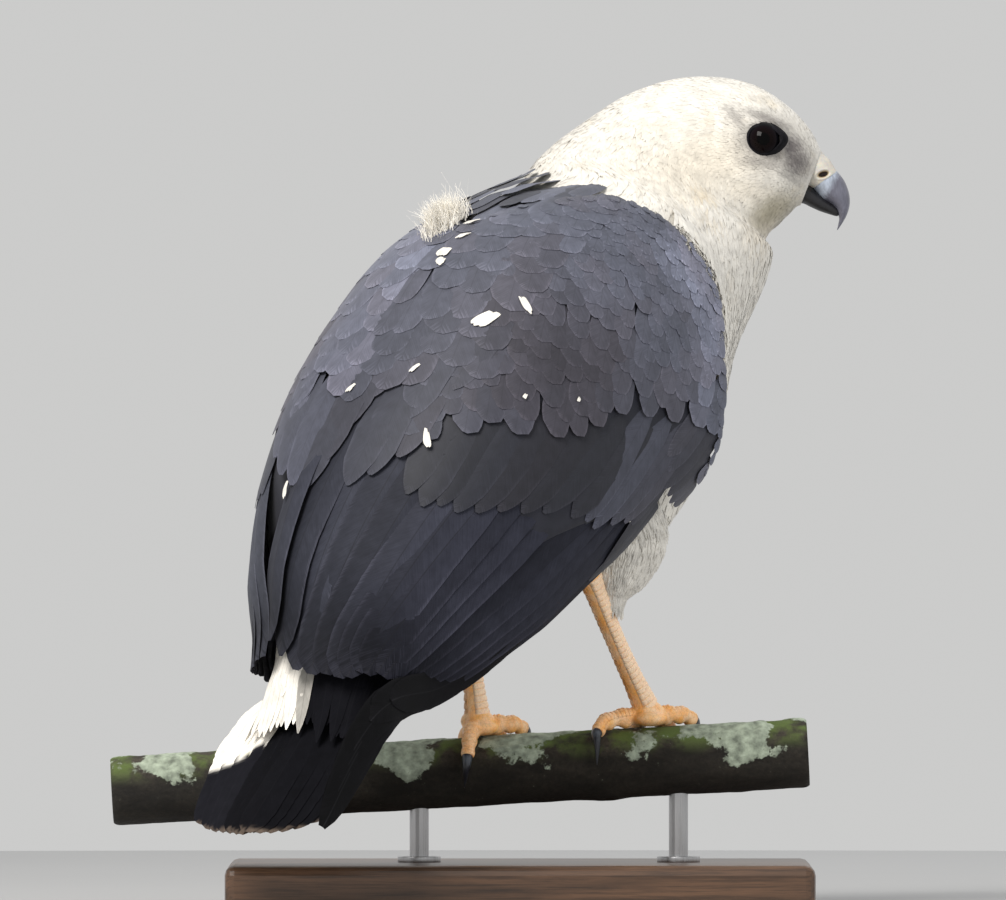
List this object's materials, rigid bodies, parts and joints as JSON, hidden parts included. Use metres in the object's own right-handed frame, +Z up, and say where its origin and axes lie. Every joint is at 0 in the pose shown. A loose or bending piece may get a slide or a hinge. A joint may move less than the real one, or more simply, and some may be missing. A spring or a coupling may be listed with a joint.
{
  "type": "white-necked hawk",
  "caption": "Life-size still model of a white-necked hawk perched on a cut length of branch, held by a plain display stand with two short rods.",
  "frame": {"origin": "centre of the flat underside of the stand's base", "axes": "+Z is up; the branch runs along X; the bird faces away to the right of the front (-Y), its head turned to +X"},
  "size_m": [0.3088, 0.2626, 0.3459],
  "materials": {
    "white_feathers": "soft matt white feathers with warm cream and grey mottling",
    "slate_feathers": "slate-grey flight feathers and coverts with a few white spots, low sheen",
    "tail_feathers": "blackish tail feathers, the outer ones white with a black band and pale worn tips",
    "eye": "wet black-brown eye",
    "cere": "pale waxy skin",
    "bill_horn": "slate-grey horn, darker at the tip, satin",
    "leg_scales": "orange scaled skin",
    "claw_horn": "black horn, satin",
    "bark": "rough brown bark with grey-green lichen",
    "stand_wood": "dark stained wood, satin",
    "stand_metal": "brushed"
  },
  "bodies": {
    "root": {"head": "white_feathers", "neck": "white_feathers", "torso": "white_feathers", "thigh_left": "white_feathers", "thigh_right": "white_feathers", "wing_left": "slate_feathers", "wing_right": "slate_feathers", "tail": "tail_feathers", "eye_left": "eye", "eye_right": "eye", "cere": "cere", "bill_upper": "bill_horn", "bill_lower": "bill_horn", "leg_left": "leg_scales", "leg_right": "leg_scales", "claw_left_hallux": "claw_horn", "claw_left_inner": "claw_horn", "claw_left_middle": "claw_horn", "claw_left_outer": "claw_horn", "claw_right_hallux": "claw_horn", "claw_right_inner": "claw_horn", "claw_right_middle": "claw_horn", "claw_right_outer": "claw_horn", "perch_branch": "bark", "stand_base": "stand_wood", "stand_rod_1": "stand_metal", "stand_rod_2": "stand_metal"}
  },
  "joints": []
}
